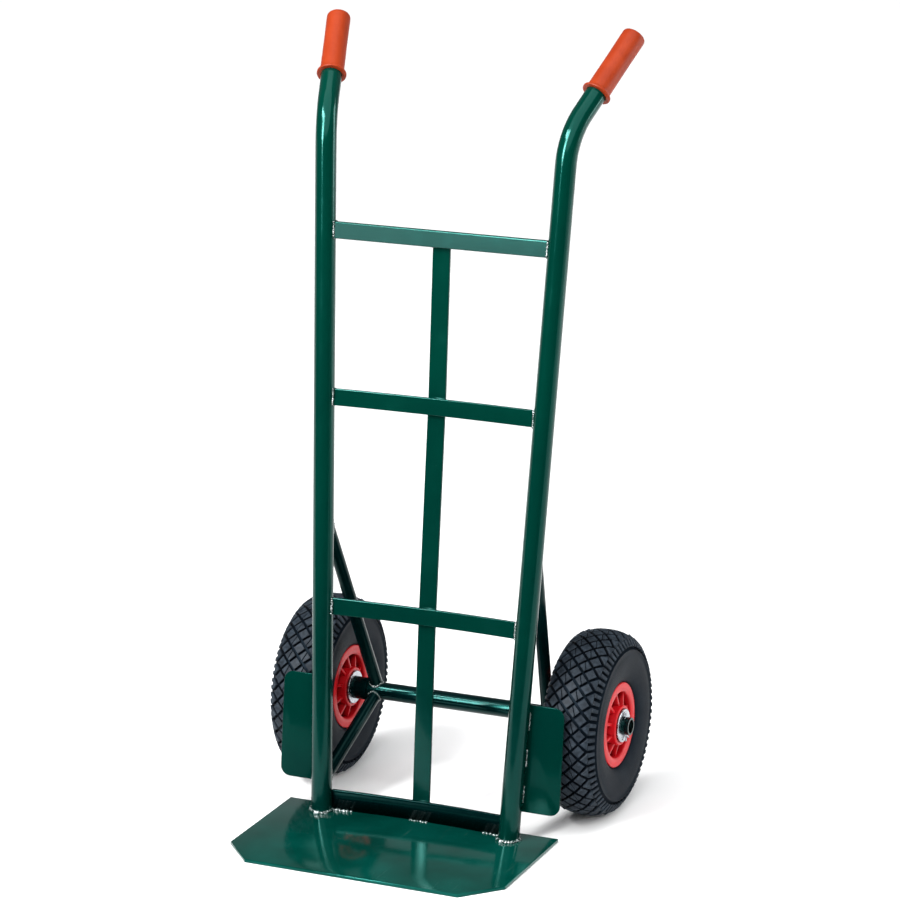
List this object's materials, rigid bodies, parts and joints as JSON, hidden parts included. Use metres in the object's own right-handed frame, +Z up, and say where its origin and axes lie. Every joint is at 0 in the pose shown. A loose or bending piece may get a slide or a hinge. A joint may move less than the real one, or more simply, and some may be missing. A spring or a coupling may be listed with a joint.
{
  "type": "hand truck",
  "caption": "Welded tube hand truck with a flat toe plate, bowed crossbars, backswept handles with moulded grips and air-filled wheels on ball bearings.",
  "frame": {"origin": "middle of the floor area, at floor level, under the bounding box's centre", "axes": "+Z up, +X to the truck's right as seen from its load side, -Y towards the load (the toe plate points to -Y and the wheels and handles are on +Y)"},
  "size_m": [0.51, 0.504, 1.0874],
  "materials": {
    "frame_paint": "gloss dark green paint over welded steel, beads painted over",
    "plate_paint": "gloss dark green paint on sheet steel, with fine scratches",
    "grip": "soft satin orange moulding",
    "zinc": "bright zinc plate",
    "bearing_steel": "ground and polished",
    "cage_brass": "pressed and drilled, satin",
    "rim": "semi-gloss red moulding",
    "tyre": "satin charcoal rubber, block tread",
    "tube_rubber": "smooth black rubber",
    "cap_plastic": "black moulded plastic"
  },
  "bodies": {
    "frame": {"upright_left": "frame_paint", "upright_right": "frame_paint", "grip_left": "grip", "grip_right": "grip", "crossbar_top": "frame_paint", "crossbar_upper": "frame_paint", "crossbar_lower": "frame_paint", "crossbar_bottom": "frame_paint", "centre_strap": "frame_paint", "toe_plate": "plate_paint", "axle": "frame_paint", "strut_upper_left": "frame_paint", "strut_upper_right": "frame_paint", "strut_lower_left": "frame_paint", "strut_lower_right": "frame_paint", "wheel_guard_left": "frame_paint", "wheel_guard_right": "frame_paint", "sleeve_left": "frame_paint", "sleeve_right": "frame_paint", "washers_left": "zinc", "washers_right": "zinc", "split_pin_left": "zinc", "split_pin_right": "zinc", "inner_races_left": "bearing_steel", "inner_races_right": "bearing_steel", "bearing_spacer_left": "bearing_steel", "bearing_spacer_right": "bearing_steel"},
    "wheel_left": {"tyre_left": "tyre", "rim_outer_left": "rim", "rim_inner_left": "rim", "outer_races_left": "bearing_steel", "rim_bolts_left": "zinc", "rim_nuts_left": "zinc", "inner_tube_left": "tube_rubber", "valve_stem_left": "tube_rubber", "valve_cap_left": "cap_plastic"},
    "wheel_right": {"tyre_right": "tyre", "rim_outer_right": "rim", "rim_inner_right": "rim", "outer_races_right": "bearing_steel", "rim_bolts_right": "zinc", "rim_nuts_right": "zinc", "inner_tube_right": "tube_rubber", "valve_stem_right": "tube_rubber", "valve_cap_right": "cap_plastic"},
    "cages_left": {"balls_left": "bearing_steel", "ball_cages_left": "cage_brass"},
    "cages_right": {"balls_right": "bearing_steel", "ball_cages_right": "cage_brass"}
  },
  "joints": [
    {"name": "wheel_left_spin", "type": "hinge", "parent": "frame", "child": "wheel_left", "pos_m": [-0.2047, 0.122, 0.13], "axis": [1, 0, 0], "continuous": true},
    {"name": "wheel_right_spin", "type": "hinge", "parent": "frame", "child": "wheel_right", "pos_m": [0.2047, 0.122, 0.13], "axis": [1, 0, 0], "continuous": true},
    {"name": "cages_left_spin", "type": "hinge", "parent": "frame", "child": "cages_left", "pos_m": [-0.2047, 0.122, 0.13], "axis": [1, 0, 0], "continuous": true},
    {"name": "cages_right_spin", "type": "hinge", "parent": "frame", "child": "cages_right", "pos_m": [0.2047, 0.122, 0.13], "axis": [1, 0, 0], "continuous": true}
  ],
  "couplings": [
    {"joint": "cages_left_spin", "follows": "wheel_left_spin", "ratio": 0.5875},
    {"joint": "cages_right_spin", "follows": "wheel_right_spin", "ratio": 0.5875}
  ]
}
